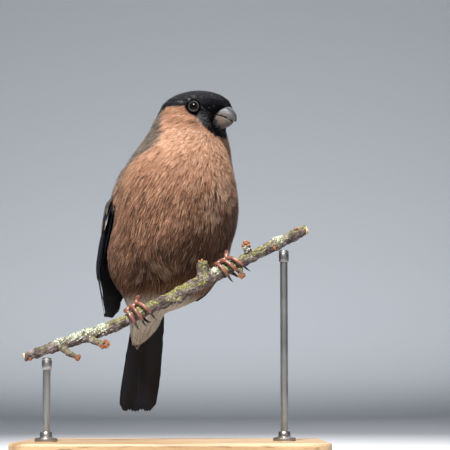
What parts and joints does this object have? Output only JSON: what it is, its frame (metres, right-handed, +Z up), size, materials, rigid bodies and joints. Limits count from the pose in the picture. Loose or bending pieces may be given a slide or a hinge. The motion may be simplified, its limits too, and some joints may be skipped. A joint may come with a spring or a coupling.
{
  "type": "perched female bullfinch model",
  "caption": "Life-size still model of a female bullfinch sitting upright on a cut twig, with its head turned to its left, on a flat display base with short rods.",
  "frame": {"origin": "middle of the underside of the display base, on the surface it stands on", "axes": "+Z up, +X along the base's long side and up the slope of the twig, -Y to the side that the bird's breast faces; the bird's head is turned towards +X"},
  "size_m": [0.13, 0.092, 0.1577],
  "materials": {
    "breast_feather": "soft warm brown feather with pale hairlike streaks",
    "black_feather": "black feather with a faint blue gloss",
    "mantle_feather": "soft grey-brown feather",
    "vent_feather": "loose off-white down",
    "bill_horn": "satin dark horn, paler along the cutting edge",
    "eye_dark": "wet gloss, near black",
    "toe_skin": "scaled pinkish brown skin",
    "claw_horn": "satin dark horn",
    "twig_bark": "rough bark with pale lichen and green algae",
    "stand_wood": "oiled pale wood",
    "stand_steel": "brushed"
  },
  "bodies": {
    "root": {"head": "black_feather", "neck": "mantle_feather", "trunk": "breast_feather", "eye_left": "eye_dark", "eye_right": "eye_dark", "bill_upper": "bill_horn", "bill_lower": "bill_horn", "wing_left_coverts": "mantle_feather", "wing_left_flight": "black_feather", "wing_right_coverts": "mantle_feather", "wing_right_flight": "black_feather", "tail": "black_feather", "undertail_coverts": "vent_feather", "uppertail_coverts": "black_feather", "thigh_left": "vent_feather", "thigh_right": "vent_feather", "tarsus_left": "toe_skin", "tarsus_right": "toe_skin", "toe_left_inner": "toe_skin", "toe_left_middle": "toe_skin", "toe_left_outer": "toe_skin", "toe_left_hind": "toe_skin", "toe_right_inner": "toe_skin", "toe_right_middle": "toe_skin", "toe_right_outer": "toe_skin", "toe_right_hind": "toe_skin", "claw_left_inner": "claw_horn", "claw_left_middle": "claw_horn", "claw_left_outer": "claw_horn", "claw_left_hind": "claw_horn", "claw_right_inner": "claw_horn", "claw_right_middle": "claw_horn", "claw_right_outer": "claw_horn", "claw_right_hind": "claw_horn", "perch": "twig_bark", "stand_base": "stand_wood", "stand_rod_left": "stand_steel", "stand_rod_right": "stand_steel"}
  },
  "joints": []
}
